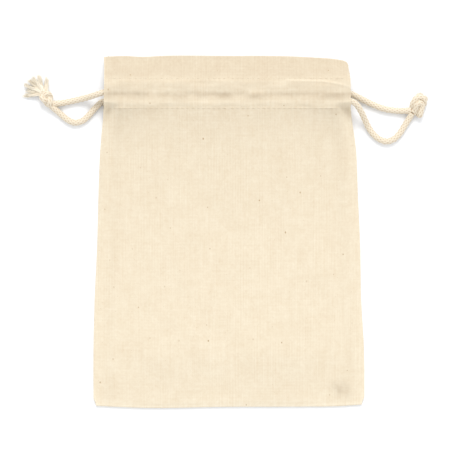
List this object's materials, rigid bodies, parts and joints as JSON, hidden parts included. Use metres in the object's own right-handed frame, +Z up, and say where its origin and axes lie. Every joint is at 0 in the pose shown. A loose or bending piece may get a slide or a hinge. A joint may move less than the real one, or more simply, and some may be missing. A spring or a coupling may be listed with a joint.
{
  "type": "fabric gift sack",
  "caption": "Flat woven cotton gift sack with a stitched header and cord tunnel, closed by braided cotton drawcords pulled from both sides.",
  "frame": {"origin": "on the surface under the middle of the cloth, cords left out of the measure", "axes": "+Y from the bottom fold to the mouth, +X to the right seen from the front, +Z up from the surface that the sack lies on"},
  "size_m": [0.2262, 0.196, 0.0142],
  "materials": {
    "cotton_cloth": "unbleached plain-weave cotton, matt, with seed specks",
    "cotton_cord": "round braided cotton cord, matt",
    "cotton_yarn_ends": "loose cotton fibre, fuzzy",
    "sewing_thread": "twisted cotton thread, matt"
  },
  "bodies": {
    "sack": {"front_panel": "cotton_cloth", "back_panel": "cotton_cloth", "bottom_fold": "cotton_cloth", "front_casing": "cotton_cloth", "back_casing": "cotton_cloth", "front_left_side_hem": "cotton_cloth", "front_right_side_hem": "cotton_cloth", "back_left_side_hem": "cotton_cloth", "back_right_side_hem": "cotton_cloth", "left_seam_allowance": "cotton_cloth", "right_seam_allowance": "cotton_cloth", "front_upper_stitching": "sewing_thread", "front_lower_stitching": "sewing_thread", "back_upper_stitching": "sewing_thread", "back_lower_stitching": "sewing_thread", "left_seam_stitching": "sewing_thread", "right_seam_stitching": "sewing_thread", "left_overlock": "sewing_thread", "right_overlock": "sewing_thread"},
    "left_cord": {"left_drawcord": "cotton_cord", "left_knot": "cotton_cord", "left_frayed_ends": "cotton_yarn_ends"},
    "right_cord": {"right_drawcord": "cotton_cord", "right_knot": "cotton_cord", "right_trimmed_ends": "cotton_yarn_ends"}
  },
  "joints": [
    {"name": "left_cord_pull", "type": "slide", "parent": "sack", "child": "left_cord", "axis": [-1, 0, 0], "range_m": [0, 0.04], "deforming": ["front_casing", "back_casing", "front_panel", "back_panel", "front_left_side_hem", "front_right_side_hem", "back_left_side_hem", "back_right_side_hem", "front_upper_stitching", "front_lower_stitching", "back_upper_stitching", "back_lower_stitching", "left_seam_allowance", "right_seam_allowance", "left_seam_stitching", "right_seam_stitching", "left_overlock", "right_overlock"]},
    {"name": "right_cord_pull", "type": "slide", "parent": "sack", "child": "right_cord", "axis": [1, 0, 0], "range_m": [0, 0.04], "deforming": ["front_casing", "back_casing", "front_panel", "back_panel", "front_left_side_hem", "front_right_side_hem", "back_left_side_hem", "back_right_side_hem", "front_upper_stitching", "front_lower_stitching", "back_upper_stitching", "back_lower_stitching", "left_seam_allowance", "right_seam_allowance", "left_seam_stitching", "right_seam_stitching", "left_overlock", "right_overlock"]}
  ]
}
